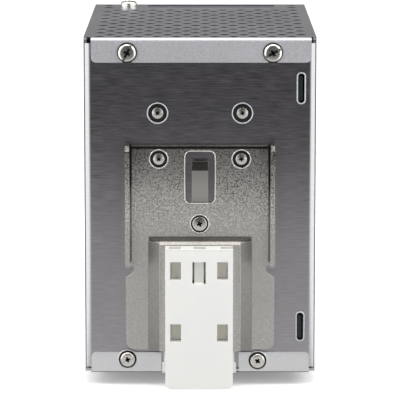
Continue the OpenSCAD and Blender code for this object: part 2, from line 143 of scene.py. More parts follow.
class Graph:
    """The node tree of one finish."""

    def __init__(self, name):
        self.material = bpy.data.materials.new(name)
        self.material.use_nodes = True
        self.tree = self.material.node_tree
        self.shader = self.tree.nodes["Principled BSDF"]

    def add(self, kind, settings, values, output=0):
        """Adds a node, sets its settings, then fills its sockets with values or links."""
        node = self.tree.nodes.new(kind)
        for key, setting in settings.items():
            setattr(node, key, setting)
        rows = values.items() if isinstance(values, dict) else enumerate(values)
        for key, value in rows:
            self.fill(node.inputs[key], value)
        return Value(self, node.outputs[output])

    def fill(self, socket, value):
        if isinstance(value, Value):
            self.tree.links.new(value.socket, socket)
        elif socket.type == "RGBA" and len(value) == 3:
            socket.default_value = (*value, 1)
        else:
            socket.default_value = value

    def place(self, scale=(1, 1, 1)):
        """Object coordinates, stretched by scale."""
        spot = self.add("ShaderNodeTexCoord", {}, {}, "Object")
        return self.add("ShaderNodeMapping", {}, {"Vector": spot, "Scale": scale})

    def axes(self, scale=1 / MM):
        """The three Object coordinates, in millimetres unless told otherwise."""
        parts = self.add("ShaderNodeSeparateXYZ", {}, [self.place((scale, scale, scale))])
        node = parts.socket.node
        return [Value(self, node.outputs[i]) for i in range(3)]

    def noise(self, scale, detail=3, stretch=(1, 1, 1), rough=0.5):
        """Noise with scale cells to the metre."""
        return self.add(
            "ShaderNodeTexNoise",
            {},
            {"Vector": self.place(stretch), "Scale": scale, "Detail": detail, "Roughness": rough},
            "Fac",
        )

    def cells(self, scale):
        """Distance to the middle of the nearest of scattered cells, scale to the metre."""
        return self.add(
            "ShaderNodeTexVoronoi", {}, {"Vector": self.place(), "Scale": scale}, "Distance"
        )

    def mix(self, factor, a, b):
        """Colour between a and b."""
        return self.add(
            "ShaderNodeMix", {"data_type": "RGBA"}, {0: factor, 6: a, 7: b}, 2
        )

    def bump(self, height, depth, strength):
        """Normal of a relief of a depth in metres."""
        return self.add(
            "ShaderNodeBump", {}, {"Height": height, "Distance": depth, "Strength": strength}
        )

    def surface(self, **sockets):
        """Fills the shader's sockets; a name's underscores stand for spaces."""
        for name, value in sockets.items():
            self.fill(self.shader.inputs[name.replace("_", " ")], value)
        return self.material


def shades(colour, dark, light):
    """A darker and a lighter tone of a colour."""
    return [c * dark for c in colour], [min(1, c * light) for c in colour]


def brushed_case(colour):
    """Aluminium brushed across; painted shade darkens the rear upwards and painted highlights
    lighten its bends.
    """
    g = Graph("brushed_case")
    fine = g.noise(1, 3, (170, 170, 2300))
    broad = g.noise(1, 3, (30, 30, 700))
    patch = g.noise(18, 2)
    streak = (fine * 0.85 + broad * 0.15 - 0.5) * 1.7 + 0.5
    x, y, z = g.axes()
    rear = y.step(-6.8, -5.8)
    # Painted shade: the rear is darkened upwards.
    sheet = g.mix(z.step(-20, 40) * 0.75 * rear, colour, (0.04, 0.035, 0.045))
    # Painted highlight: the rounded bends between the rear and the sides are lightened.
    bends = x.size().step(40.3, 41.1) * y.step(-8.5, -7.5)
    sheet = g.mix(bends, sheet, (0.68, 0.67, 0.69))
    # Painted shade: a dark line along the outer side edges of the rear.
    outline = x.size().step(42.15, 42.3) * y.step(-8.2, -7.9)
    sheet = g.mix(outline * 0.9, sheet, (0.02, 0.02, 0.022))
    dark, light = g.mix(0.2, sheet, (0, 0, 0)), g.mix(0.14, sheet, (1, 1, 1))
    return g.surface(
        Base_Color=g.mix(streak.clamp(), dark, light),
        Metallic=1.0,
        Roughness=0.22 + streak * 0.16 + patch * 0.06,
        Normal=g.bump(fine * 0.6 + broad * 0.4, 0.00004, 0.3),
    )


def satin_cover(colour):
    """Satin silver sheet with a very fine grain.

    Painted shade darkens the upper face and the walls of its holes, painted light
    lightens the lower rear flange, and a painted shade line runs along its hem."""
    g = Graph("satin_cover")
    grain = g.noise(1500, 3, rough=0.7)
    cloud = g.noise(30, 3)
    spread = (grain - 0.5) * 1.6 + (cloud - 0.5) * 0.4 + 0.5
    tone = g.mix(spread.clamp(), *shades(colour, 0.8, 1.16))
    x, y, z = g.axes()
    ahead_of_fold = 1 - y.step(-7.6, -6.6)
    roof = z.step(60.6, 60.9) * ahead_of_fold
    bores = z.band((58.5, 59.5), (61.1, 61.18)) * ahead_of_fold * y.step(-132, -131.5)
    bores = bores * (1 - x.size().step(41.3, 41.8))
    rear = y.step(-7.2, -6.6)
    base = (1 - z.step(-58, -54)) * rear
    hem = (1 - z.step(-63.65, -63.45)) * rear
    # Painted shade: the upper face is darkened.
    tone = g.mix(roof * 0.42, tone, (0.2, 0.195, 0.21))
    # Painted shade: the walls of the holes in the upper face are darkened nearly to black.
    tone = g.mix(bores * 0.96, tone, (0.01, 0.01, 0.012))
    # Painted light: the lower rear flange is lightened.
    tone = g.mix(base * 0.6, tone, (1, 1, 1))
    # Painted shade: a dark line along the bottom edge of the lower rear flange.
    tone = g.mix(hem * 0.85, tone, (0.03, 0.03, 0.032))
    return g.surface(
        Base_Color=tone,
        Metallic=1.0,
        Roughness=0.46 + cloud * 0.1 - roof * 0.1,
        Normal=g.bump(grain, 0.00003, 0.35),
    )


def plated_clip(colour):
    """Plated steel: speckled, most at the top, and smooth on the bent tongue.

    Painted shade darkens it towards the top and at its folds, slopes, creases and upper lip."""
    g = Graph("plated_clip")
    x, y, z = g.axes()
    beside_tongue = x.size().step(3.1, 3.6)
    below_tongue = 1 - z.step(-0.2, 0.6)
    above_tongue = z.step(16.2, 16.6)
    rough_part = beside_tongue.math("MAXIMUM", below_tongue.math("MAXIMUM", above_tongue))
    speckle = g.noise(2000, 4, rough=0.75)
    flecks = g.cells(1300)
    cloud = g.noise(60, 3)
    in_channel = 1 - z.step(-14.5, -13.5)
    contrast = (z.step(-14, 18) * 0.8 + 0.2 - in_channel * 0.1) * rough_part
    spread = (speckle - 0.5) * 7.5 + (flecks - 0.4) * 1.3 + (cloud - 0.5) * 0.6
    tone = g.mix((spread * contrast + 0.62).clamp(), *shades(colour, 0.12, 1.22))
    on_plate = 1 - y.step(-3.8, -3.4)
    # Painted shade: the channel's slopes, the fold at its top, the creases beside the flanges and
    # the upper lip are darkened.
    slopes = x.size().band((14.6, 15.2), (19, 19.4)) * in_channel * 0.62
    fold = (1 - x.size().step(18.5, 19.5)) * z.band((-14.2, -13.7), (-12.6, -12.2)) * 0.9
    crease = x.size().band((24.9, 25.4), (25.9, 26.2)) * on_plate * z.step(-22.5, -21.5) * 0.65
    lip = z.band((20.2, 20.5), (21.1, 21.3)) * on_plate * 0.75
    # Painted shade: these marks and a darkening towards the top pull the colour towards black.
    painted_shade = slopes + fold + crease + lip + z.step(-8, 26) * 0.78
    return g.surface(
        Base_Color=g.mix(painted_shade.clamp(), tone, (0.03, 0.028, 0.025)),
        Metallic=1.0,
        Roughness=0.16 + (speckle * 0.2 + 0.16) * rough_part,
        Normal=g.bump(speckle * rough_part, 0.00014, 0.6),
    )


def moulded(name, colour, rough, grain=1800, depth=0.00002, coat=0.0, shine=0.5):
    """Moulded plastic with a fine spark-eroded texture."""
    g = Graph(name)
    texture = g.noise(grain, 3)
    cloud = g.noise(60, 2)
    return g.surface(
        Base_Color=g.mix(cloud, *shades(colour, 0.9, 1.08)),
        Roughness=rough + texture * 0.1 - 0.05,
        Specular_IOR_Level=shine,
        Normal=g.bump(texture, depth, 0.4),
        Coat_Weight=coat,
    )


def slider_plastic(colour):
    """Off-white nylon, a little yellow in places, with painted shade on the upper ramp and the
    latch.
    """
    g = Graph("slider_plastic")
    texture = g.noise(1500, 2)
    cloud = g.noise(40, 2)
    x, y, z = g.axes()
    ramp = z.step(-16.8, -15.8)
    latch = 1 - (x - SLIDER_X).size().step(2.1, 2.3)
    latch = latch * z.step(-28.5, -28.3) * (1 - z.step(-21.1, -20.9))
    tone = g.mix(cloud, [colour[0], colour[1], colour[2] * 0.975], colour)
    # Painted shade on the upper ramp.
    tone = g.mix(ramp * 0.4, tone, (0.3, 0.3, 0.27))
    # Painted shade on the latch.
    tone = g.mix(latch * 0.4, tone, (0.42, 0.41, 0.36))
    return g.surface(
        Base_Color=tone,
        Roughness=0.34 + texture * 0.08,
        Subsurface_Weight=0.25,
        Subsurface_Radius=(0.002, 0.0018, 0.0014),
        Subsurface_Scale=1.0,
        Normal=g.bump(texture, 0.00001, 0.3),
    )


def metal(name, colour, rough, grain=1500, depth=0.00002, stretch=(1, 1, 1)):
    """Bare or plated metal with a fine grain."""
    g = Graph(name)
    texture = g.noise(grain, 3, stretch)
    cloud = g.noise(200, 3)
    return g.surface(
        Base_Color=g.mix(texture * 0.5 + cloud * 0.5, *shades(colour, 0.85, 1.15)),
        Metallic=1.0,
        Roughness=rough + cloud * 0.12 - 0.04,
        Normal=g.bump(texture, depth, 0.4),
    )


def circuit_board():
    """Dark green solder mask over tracks."""
    g = Graph("circuit_board")
    tracks = g.add(
        "ShaderNodeTexBrick",
        {"offset": 0.37, "squash": 1.4},
        {
            "Vector": g.place(),
            "Scale": 180,
            "Mortar Size": 0.06,
            "Mortar Smooth": 0.1,
            "Color1": (0, 0, 0),
            "Color2": (0.3, 0.3, 0.3),
            "Mortar": (1, 1, 1),
        },
        "Fac",
    )
    weave = g.noise(2400, 2)
    mask = g.mix(tracks * 0.5, (0.002, 0.008, 0.006), (0.006, 0.028, 0.016))
    colour = g.mix(weave * 0.3, mask, (0.01, 0.02, 0.014))
    return g.surface(
        Base_Color=colour,
        Roughness=0.32 + weave * 0.15,
        Normal=g.bump(tracks + weave * 0.2, 0.00006, 0.5),
    )


def wound_wire():
    """Enamelled copper wire, seen as fine turns."""
    g = Graph("wound_wire")
    x, y, z = g.axes()
    turn = (z * 2.6 + x * 0.7).math("SINE") * 0.5 + 0.5
    cloud = g.noise(300, 2)
    tone = g.mix(turn * 0.7 + cloud * 0.3, (0.16, 0.045, 0.015), (0.75, 0.33, 0.13))
    return g.surface(
        Base_Color=tone,
        Metallic=1.0,
        Roughness=0.3 + cloud * 0.15,
        Normal=g.bump(turn, 0.0003, 0.6),
        Coat_Weight=0.3,
    )


def taped_coil():
    """Yellow polyester tape in overlapping layers."""
    g = Graph("taped_coil")
    x, y, z = g.axes()
    layer = (y * 0.9).math("FRACT")
    cloud = g.noise(120, 3)
    tone = g.mix(layer * 0.4 + cloud * 0.4, (0.55, 0.36, 0.03), (0.85, 0.66, 0.12))
    return g.surface(
        Base_Color=tone, Roughness=0.3 + cloud * 0.2, Normal=g.bump(layer, 0.00005, 0.5)
    )


def sleeved_can():
    """Dark, glossy capacitor sleeve."""
    g = Graph("sleeved_can")
    cloud = g.noise(90, 2)
    grain = g.noise(1500, 2)
    sleeve = g.mix(cloud, (0.012, 0.012, 0.02), (0.03, 0.03, 0.045))
    return g.surface(
        Base_Color=sleeve,
        Roughness=0.25 + cloud * 0.1,
        Coat_Weight=0.4,
        Normal=g.bump(grain, 0.00001, 0.3),
    )


def finishes():
    """One material for each of the record's slots."""
    look = bpy.context.scene.rail_supply
    return {
        "case_sheet": brushed_case(tuple(look.case_colour)),
        "cover_sheet": satin_cover(tuple(look.cover_colour)),
        "plated_steel": plated_clip(tuple(look.clip_colour)),
        "slider_nylon": slider_plastic(tuple(look.slider_colour)),
        "screw_nickel": metal("nickel_screw", (0.86, 0.83, 0.78), 0.2, 900),
        "spring_steel": metal("spring_wire", (0.55, 0.55, 0.55), 0.28),
        "terminal_black": moulded("black_moulding", (0.016, 0.016, 0.018), 0.45, shine=0.15),
        "contact_brass": metal("tinned_brass", (0.78, 0.72, 0.58), 0.25),
        "board": circuit_board(),
        "sheet_clear": moulded("insulating_film", (0.72, 0.7, 0.62), 0.3),
        "trimmer_blue": moulded("blue_moulding", (0.02, 0.06, 0.3), 0.35),
        "dial_white": moulded("white_dial", (0.82, 0.82, 0.78), 0.4),
        "led_green": moulded("green_lens", (0.05, 0.5, 0.12), 0.15, coat=0.5),
        "sleeve_dark": sleeved_can(),
        "ferrite": moulded("ferrite_core", (0.045, 0.045, 0.05), 0.6, 900, 0.00006),
        "tape_yellow": taped_coil(),
        "copper_wire": wound_wire(),
        "film_yellow": moulded("yellow_film_box", (0.75, 0.6, 0.05), 0.3),
        "heatsink_alu": metal("mill_aluminium", (0.62, 0.62, 0.64), 0.34, 40, 0.00003, (1, 30, 1)),
        "epoxy_black": moulded("epoxy_package", (0.02, 0.02, 0.021), 0.5, 1400),
        "ceramic_white": moulded("white_ceramic", (0.75, 0.74, 0.68), 0.3),
        "relay_blue": moulded("blue_case", (0.03, 0.12, 0.38), 0.3),
    }


FINISH = {}


def finish_for(slot):
    if not FINISH:
        FINISH.update(finishes())
    return FINISH[slot]


# Modelling helpers


def pick_nothing():
    bpy.ops.object.select_all(action="DESELECT")


def pick(piece):
    pick_nothing()
    piece.select_set(True)
    bpy.context.view_layer.objects.active = piece


def settle():
    """Applies the place, turn and scale of what is selected."""
    bpy.ops.object.transform_apply(location=True, rotation=True, scale=True)


def block(size, place):
    """Box of a size in metres, centred on a place."""
    pick_nothing()
    bpy.ops.mesh.primitive_cube_add(size=1, location=place)
    made = bpy.context.object
    made.scale = size
    settle()
    return made


def turned(piece, turn):
    """Turns a selected piece about Z."""
    piece.rotation_euler = (0, 0, turn)
    settle()
    return piece


def shape(piece, chosen, shift=None, size=None):
    """Moves or scales, about the origin, the corners whose place passes a test."""
    pick(piece)
    bpy.ops.object.mode_set(mode="EDIT")
    bpy.ops.mesh.select_mode(type="VERT")
    bpy.ops.mesh.select_all(action="DESELECT")
    bpy.ops.object.mode_set(mode="OBJECT")
    for corner in piece.data.vertices:
        corner.select = chosen(corner.co)
    bpy.ops.object.mode_set(mode="EDIT")
    if shift:
        bpy.ops.transform.translate(value=shift)
    if size:
        bpy.ops.transform.resize(value=size, center_override=(0, 0, 0))
    bpy.ops.object.mode_set(mode="OBJECT")


def keep(piece, name, node, slot=None):
    """Settles a finished piece: its name, finish, body and the node it stands for."""
    pick(piece)
    settle()
    piece.name = name
    piece.data.materials.clear()
    piece.data.materials.append(finish_for(slot or NODE_SLOT[node]))
    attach(piece, NODE_BODY[node])
    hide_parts(node)
    pick_nothing()
    return piece


def apply_modifier(piece, kind, **settings):
    """Adds a modifier, sets it up and applies it."""
    pick(piece)
    modifier = piece.modifiers.new(kind.title(), kind)
    for key, value in settings.items():
        setattr(modifier, key, value)
    bpy.ops.object.modifier_apply(modifier=modifier.name)


def rounded_copy(node, radius, segments=2, smooth=35):
    """A copy of a frame node with its loose triangles joined.

    Sharp edges are rounded to a radius in millimetres, and flatter ones are shaded smooth."""
    source = NODES[node]
    piece = source.copy()
    piece.data = source.data.copy()
    for key in list(piece.keys()):
        del piece[key]
    piece.parent = None
    bpy.context.scene.collection.objects.link(piece)
    piece.hide_render = False
    pick(piece)
    bpy.ops.object.mode_set(mode="EDIT")
    bpy.ops.mesh.select_all(action="SELECT")
    bpy.ops.mesh.remove_doubles(threshold=0.000002)
    bpy.ops.mesh.dissolve_limited(angle_limit=math.radians(0.5))
    bpy.ops.object.mode_set(mode="OBJECT")
    if radius:
        apply_modifier(
            piece,
            "BEVEL",
            width=radius * MM,
            segments=segments,
            limit_method="ANGLE",
            angle_limit=math.radians(35),
            use_clamp_overlap=True,
        )
    pick(piece)
    bpy.ops.object.shade_smooth_by_angle(angle=math.radians(smooth))
    if radius:
        apply_modifier(piece, "WEIGHTED_NORMAL", keep_sharp=True, weight=80)
    return piece


def join(pieces):
    """Makes one piece of several."""
    if len(pieces) > 1:
        pick_nothing()
        for piece in pieces:
            piece.select_set(True)
        bpy.context.view_layer.objects.active = pieces[0]
        bpy.ops.object.join()
    return pieces[0]


def turned_head(radius, height, edge, dome):
    """Round head on z = 0 with a rounded upper edge and a slightly domed top."""
    pick_nothing()
    bpy.ops.mesh.primitive_cylinder_add(
        vertices=64, radius=radius, depth=height, location=(0, 0, height / 2)
    )
    head = bpy.context.object
    settle()
    bpy.ops.object.mode_set(mode="EDIT")
    bpy.ops.mesh.select_all(action="DESELECT")
    bpy.ops.object.mode_set(mode="OBJECT")
    for side in head.data.edges:
        ends = [head.data.vertices[i].co for i in side.vertices]
        side.select = all(abs(co.z - height) < NEAR for co in ends)
    bpy.ops.object.mode_set(mode="EDIT")
    bpy.ops.mesh.select_mode(type="EDGE")
    bpy.ops.mesh.bevel(offset=edge, segments=6, profile=0.5)
    bpy.ops.mesh.select_all(action="DESELECT")
    bpy.ops.object.mode_set(mode="OBJECT")
    for side in head.data.polygons:
        side.select = side.normal.z > 0.99 and len(side.vertices) > 8
    bpy.ops.object.mode_set(mode="EDIT")
    bpy.ops.mesh.select_mode(type="FACE")
    for step in range(3):
        bpy.ops.mesh.inset(thickness=(radius - edge) * 0.25, depth=dome / (3 + 2 * step))
    bpy.ops.object.mode_set(mode="OBJECT")
    return head


def cross_cutter(size, width, depth, top, slot_length=0):
    """Tapered cross for a driver, with an optional straight slot across it."""
    parts = []
    for turn in (0, math.pi / 2):
        arm = block((size, width, depth * 2), (0, 0, top))
        shape(arm, lambda co: co.z < top, size=(0.4, 0.7, 1))
        parts.append(turned(arm, turn))
    if slot_length:
        parts.append(block((slot_length, width * 0.9, depth * 0.7), (0, 0, top)))
    return parts


def cut(piece, cutters):
    """Cuts each cutter out of a piece and removes the cutter."""
    for cutter in cutters:
        apply_modifier(piece, "BOOLEAN", operation="DIFFERENCE", solver="EXACT", object=cutter)
        bpy.data.objects.remove(cutter)


def shank(radius, length):
    """Ridged shank below z = 0, in place of a thread."""
    steps = 2 * max(4, round(length / RIDGE_PITCH))
    pick_nothing()
    bpy.ops.mesh.primitive_cylinder_add(
        vertices=32, radius=radius, depth=length, location=(0, 0, -length / 2)
    )
    rod = bpy.context.object
    settle()
    bpy.ops.object.mode_set(mode="EDIT")
    for ring in range(1, steps):
        bpy.ops.mesh.select_all(action="SELECT")
        bpy.ops.mesh.bisect(
            plane_co=(0, 0, -length * ring / steps), plane_no=(0, 0, 1), use_fill=False
        )
    bpy.ops.object.mode_set(mode="OBJECT")
    shape(rod, lambda co: round(-co.z / length * steps) % 2 == 1, size=(0.86, 0.86, 1))
    return rod


def recess_shade(head_radius, top, turn):
    """Dark cross that lies in a driver recess, in place of its shade."""
    half = head_radius * 0.15
    cross = join(cross_cutter(head_radius * 1.1, 0.33 * head_radius, half, top - half))
    return turned(cross, turn)


def driven_screw(head_radius, head_height, shank_radius, length, turn, flush=False):
    """Screw on z = 0 with its head upwards: a sunk one with a cross, or a pan with a slot too."""
    if flush:
        head = turned_head(head_radius, SUNK_RIM, SUNK_EDGE, SUNK_DOME)
        top = SUNK_TOP
    else:
        head = turned_head(head_radius, head_height, head_height * 0.42, head_height * 0.07)
        top = head_height * 1.05
    slot = 0 if flush else head_radius * 2.4
    width, depth = 0.34 * head_radius, 0.42 * head_radius
    cut(head, cross_cutter(head_radius * 1.12, width, depth, top, slot))
    parts = [head]
    if flush:
        pick_nothing()
        bpy.ops.mesh.primitive_cone_add(
            vertices=64, radius1=shank_radius, radius2=head_radius * 0.98,
            depth=SUNK_CONE, location=(0, 0, -SUNK_CONE / 2)
        )
        parts.append(bpy.context.object)
        settle()
    screw = join(parts + [shank(shank_radius, length)])
    pick(screw)
    bpy.ops.object.shade_smooth_by_angle(angle=math.radians(32))
    return turned(screw, turn)


def aim(piece, place, direction):
    """Turns a piece from +Z to a direction and moves it to a place in millimetres."""
    pick(piece)
    piece.rotation_mode = "QUATERNION"
    piece.rotation_quaternion = Vector(UPWARD).rotation_difference(Vector(direction))
    piece.location = Vector(place) * MM
    settle()
    piece.rotation_mode = "XYZ"
    return piece


def rolled_rim(width, height, corner, tube, place):
    """Thin round rim about an opening that faces +Y; sizes and place in millimetres."""
    pick_nothing()
    bpy.ops.mesh.primitive_torus_add(
        major_radius=corner * MM, minor_radius=tube * MM, major_segments=48, minor_segments=12,
        rotation=(math.pi / 2, 0, 0),
    )
    rim = bpy.context.object
    settle()
    away = (width / 2 - corner) * MM
    rise = (height / 2 - corner) * MM
    for side in (-1, 1):
        if away > 0:
            shape(rim, lambda co: co.x * side > NEAR, shift=(side * away, 0, 0))
        if rise > 0:
            shape(rim, lambda co: co.z * side > NEAR, shift=(0, 0, side * rise))
    pick(rim)
    bpy.ops.object.shade_smooth()
    rim.location = Vector(place) * MM
    settle()
    return rim


def round_rims(radius, tube, y, places):
    """Round rims of one size at several X and Z places, as one piece."""
    return join([rolled_rim(radius * 2, radius * 2, radius, tube, (x, y, z)) for x, z in places])


# Settings


class RailSupplyLook(bpy.types.PropertyGroup):
    """Sizes and colours of the looks."""

    edge_round: bpy.props.FloatProperty(
        name="Edge rounding", description="Radius on the sheets' cut edges, in millimetres",
        default=0.16, min=0.02, max=0.4,
    )
    slider_round: bpy.props.FloatProperty(
        name="Slider rounding", description="Radius on the slider's edges, in millimetres",
        default=0.35, min=0.05, max=0.6,
    )
    case_colour: bpy.props.FloatVectorProperty(
        name="Case", description="Tone of the brushed case", subtype="COLOR",
        default=(0.5, 0.475, 0.51), min=0, max=1,
    )
    cover_colour: bpy.props.FloatVectorProperty(
        name="Covers", description="Colour of the cover sheets", subtype="COLOR",
        default=(0.74, 0.735, 0.77), min=0, max=1,
    )
    clip_colour: bpy.props.FloatVectorProperty(
        name="Bracket", description="Colour of the plated bracket", subtype="COLOR",
        default=(0.78, 0.755, 0.72), min=0, max=1,
    )
    slider_colour: bpy.props.FloatVectorProperty(
        name="Slider", description="Colour of the release slider", subtype="COLOR",
        default=(0.99, 0.99, 0.965), min=0, max=1,
    )


# Pieces, placed in millimetres

SPREADER_SCREWS = (-15.6, 33.3), (15.6, 33.3)
BRACKET_SCREWS = (-15.2, 16.45), (15.2, 16.45)
MIDDLE_SCREW = (0.14, -7.7)
COVER_SCREWS = (-26.7, 55.8), (26.7, 55.8)
BASE_SCREWS = (26.9, -58.8), (-21.4, -59.35)


class OBJECT_OT_supply_case(bpy.types.Operator):
    """Builds the chassis, both covers and the front panel"""

    bl_idname = "object.supply_case"
    bl_label = "Case sheets"

    def execute(self, context):
        radius = context.scene.rail_supply.edge_round
        for node in ("chassis", "top_cover", "bottom_cover", "front_panel"):
            keep(rounded_copy(node, radius), node + "_sheet", node)
        for name, z, height in (("upper_slot_rim", 42.55, 11.4), ("lower_slot_rim", -46.6, 10.9)):
            rim = rolled_rim(2.9, height, 1.4, 0.27, (-37.15, SHEET_BACK, z))
            keep(rim, name, "chassis", slot="cover_sheet")
        dimples = round_rims(3.75, 0.22, SHEET_BACK, SPREADER_SCREWS)
        keep(dimples, "panel_dimple_rims", "chassis", slot="cover_sheet")
        dents = round_rims(3.5, 0.2, FLANGE_BACK, BASE_SCREWS)
        keep(dents, "base_dimple_rims", "bottom_cover")
        return {"FINISHED"}


class OBJECT_OT_supply_clip(bpy.types.Operator):
    """Builds the rail bracket, the release slider and its spring"""

    bl_idname = "object.supply_clip"
    bl_label = "Rail clip"

    def execute(self, context):
        look = context.scene.rail_supply
        keep(rounded_copy("din_bracket", look.edge_round * 2, 3), "bracket_plate", "din_bracket")
        dimples = round_rims(3.45, 0.22, CLIP_BACK, (*BRACKET_SCREWS, MIDDLE_SCREW))
        window = rolled_rim(11.2, 19.5, 2.1, 0.25, (0, CLIP_BACK, 9.65))
        keep(join([dimples, window]), "bracket_rims", "din_bracket", slot="screw_nickel")
        keep(rounded_copy("rail_slider", look.slider_round, 3), "slider_foot", "rail_slider")
        backs = []
        for x in (SLIDER_X - 8.2, SLIDER_X + 8.2):
            for z in (-23.95, -47.25):
                back = block((3.3 * MM, 0.9 * MM, 6.4 * MM), (x * MM, -0.6 * MM, z * MM))
                apply_modifier(back, "BEVEL", width=0.15 * MM, segments=2)
                backs.append(back)
        keep(join(backs), "slider_window_backs", "rail_slider", slot="sheet_clear")
        coil = keep(rounded_copy("slider_spring", 0, smooth=80), "slider_coil", "slider_spring")
        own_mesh(coil)
        return {"FINISHED"}


class OBJECT_OT_supply_screws(bpy.types.Operator):
    """Builds the case's screws with driver recesses and ridged shanks"""

    bl_idname = "object.supply_screws"
    bl_label = "Case screws"

    def screws(self, name, node, sizes, rows):
        """One piece of like screws and one of their recess shades.

        Sizes are the head's radius and height, with no height for a sunk one, then the
        shank's radius and length. A row is a place, a direction and a turn."""
        radius, height, rod, length = sizes
        made = []
        shades = []
        for place, direction, turn in rows:
            screw = driven_screw(
                radius * MM, height * MM, rod * MM, length * MM, turn, flush=not height
            )
            made.append(aim(screw, place, direction))
            # A black cross in each driver recess is painted shade.
            shade = recess_shade(radius * MM, (height - 0.35 if height else 0.45) * MM, turn)
            shades.append(aim(shade, place, direction))
        keep(join(made), name, node)
        keep(join(shades), name + "_painted_shadow_crosses", node, slot="terminal_black")

    def rear_rows(self, places, y, turns):
        """Rows of screws that face the rear, at X and Z places and one Y."""
        return [((x, y, z), BACKWARD, turn) for (x, z), turn in zip(places, turns)]

    def execute(self, context):
        pan = (3.3, 2.2, 1.45, 6)
        small_pan = (2.7, 1.6, 1.45, 5)
        tall_pan = (3.2, 2.6, 1.2, 5)
        sunk = (2.15, 0, 1.45, 4.5)
        wide_sunk = (2.7, 0, 1.45, 4.5)
        middle = (MIDDLE_SCREW,)
        for name, node, sizes, places, y, turns in (
            ("cover_rear_screws", "top_rear_screws", pan, COVER_SCREWS, -4.5, (0.5, 1.1)),
            ("base_rear_screws", "bottom_rear_screws", small_pan, BASE_SCREWS, -4.9, (0.35, 0.95)),
            ("bracket_fixings", "bracket_screws", sunk, BRACKET_SCREWS, -4.65, (0.2, 0.8)),
            ("bracket_middle_fixing", "bracket_centre_screw", wide_sunk, middle, -4.5, (0.4,)),
            ("spreader_fixings", "heat_spreader_screws", sunk, SPREADER_SCREWS, -6.2, (0.3, 0.9)),
        ):
            self.screws(name, node, sizes, self.rear_rows(places, y, turns))
        for name, node, z, way, turn in (
            ("cover_front_screw", "top_front_screw", COVER_TOP, 1, 0.7),
            ("base_front_screw", "bottom_front_screw", BASE_BOTTOM, -1, 0.3),
        ):
            self.screws(name, node, tall_pan, [((28.8, -120.5, z), (0, 0, way), turn)])
        sides = [
            ((side * 42.1, -129, z), (side, 0, 0), 0.3 + z) for side in (-1, 1) for z in (-40, 40)
        ]
        self.screws("panel_side_screws", "side_screws", wide_sunk, sides)
        # Black rings about the heads are painted shadow in the gaps between the heads and the
        # sheets.
        for name, node, radius, tube, y, places in (
            ("cover_screw_painted_shadow_rings", "top_rear_screws", 3.42, 0.3, -4.35, COVER_SCREWS),
            ("base_screw_painted_shadow_rings", "bottom_rear_screws", 2.85, 0.3, -4.6, BASE_SCREWS),
            ("bracket_screw_painted_shadow_rings", "bracket_screws", 2.55, 0.7, -4.75, BRACKET_SCREWS),
            ("middle_screw_painted_shadow_ring", "bracket_centre_screw", 2.95, 0.3, -4.35, middle),
            (
                "spreader_screw_painted_shadow_rings", "heat_spreader_screws",
                2.72, 0.75, -6.25, SPREADER_SCREWS,
            ),
        ):
            keep(round_rims(radius, tube, y, places), name, node, slot="terminal_black")
        return {"FINISHED"}


class OBJECT_OT_supply_terminals(bpy.types.Operator):
    """Builds the terminal blocks with their screws, cages and contact bars"""

    bl_idname = "object.supply_terminals"
    bl_label = "Terminals"

    def execute(self, context):
        for node in NODES:
            if node.endswith("terminal_block"):
                keep(rounded_copy(node, 0.2), node + "_housing", node)
            elif node.endswith("contacts"):
                keep(rounded_copy(node, 0.12), node + "_bars", node)
            elif "_clamp_" in node:
                keep(rounded_copy(node, 0.2), node + "_cage", node)
            elif "_screw_" in node:
                low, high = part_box(node)
                middle = (low + high) / 2 / MM
                seat = (middle.x, low.y / MM + 1.55, middle.z)
                screw = driven_screw(*TERMINAL_HEAD, *TERMINAL_SHANK, 0.4)
                keep(aim(screw, seat, FORWARD), node + "_turned", node)
                # A black cross in the driver recess is painted shade.
                shade = recess_shade(TERMINAL_HEAD[0], TERMINAL_HEAD[1] - 0.3 * MM, 0.4)
                keep(aim(shade, seat, FORWARD), node + "_painted_shadow_cross", node, slot="terminal_black")
        return {"FINISHED"}


class OBJECT_OT_supply_controls(bpy.types.Operator):
    """Builds the output trimmer and the status light"""

    bl_idname = "object.supply_controls"
    bl_label = "Trimmer and light"

    def execute(self, context):
        keep(rounded_copy("trimmer_body", 0.3), "trimmer_case", "trimmer_body")
        keep(rounded_copy("trimmer_dial", 0.2, 3), "trimmer_knob", "trimmer_dial")
        keep(rounded_copy("status_led", 0.1), "status_lens", "status_led")
        return {"FINISHED"}


class OBJECT_OT_supply_inside(bpy.types.Operator):
    """Builds the board and the parts inside the case"""

    bl_idname = "object.supply_inside"
    bl_label = "Inner parts"

    def execute(self, context):
        rounding = {
            "insulation_sheet": 0.05, "main_board": 0.1, "bulk_capacitors": 1.2,
            "transformer_core": 0.4, "transformer_coil": 0.5, "boost_choke": 0.3,
            "line_filter_chokes": 0.3, "film_capacitors": 0.8, "heat_spreader": 0.4,
            "primary_heatsink": 0.2, "power_transistors": 0.4, "bridge_rectifier": 0.4,
            "output_capacitors": 0.6, "output_choke": 0.3, "fuse": 0.3, "relay": 0.6,
            "control_board": 0.1,
        }
        for node, radius in rounding.items():
            keep(rounded_copy(node, radius, smooth=40), node + "_made", node)
        return {"FINISHED"}


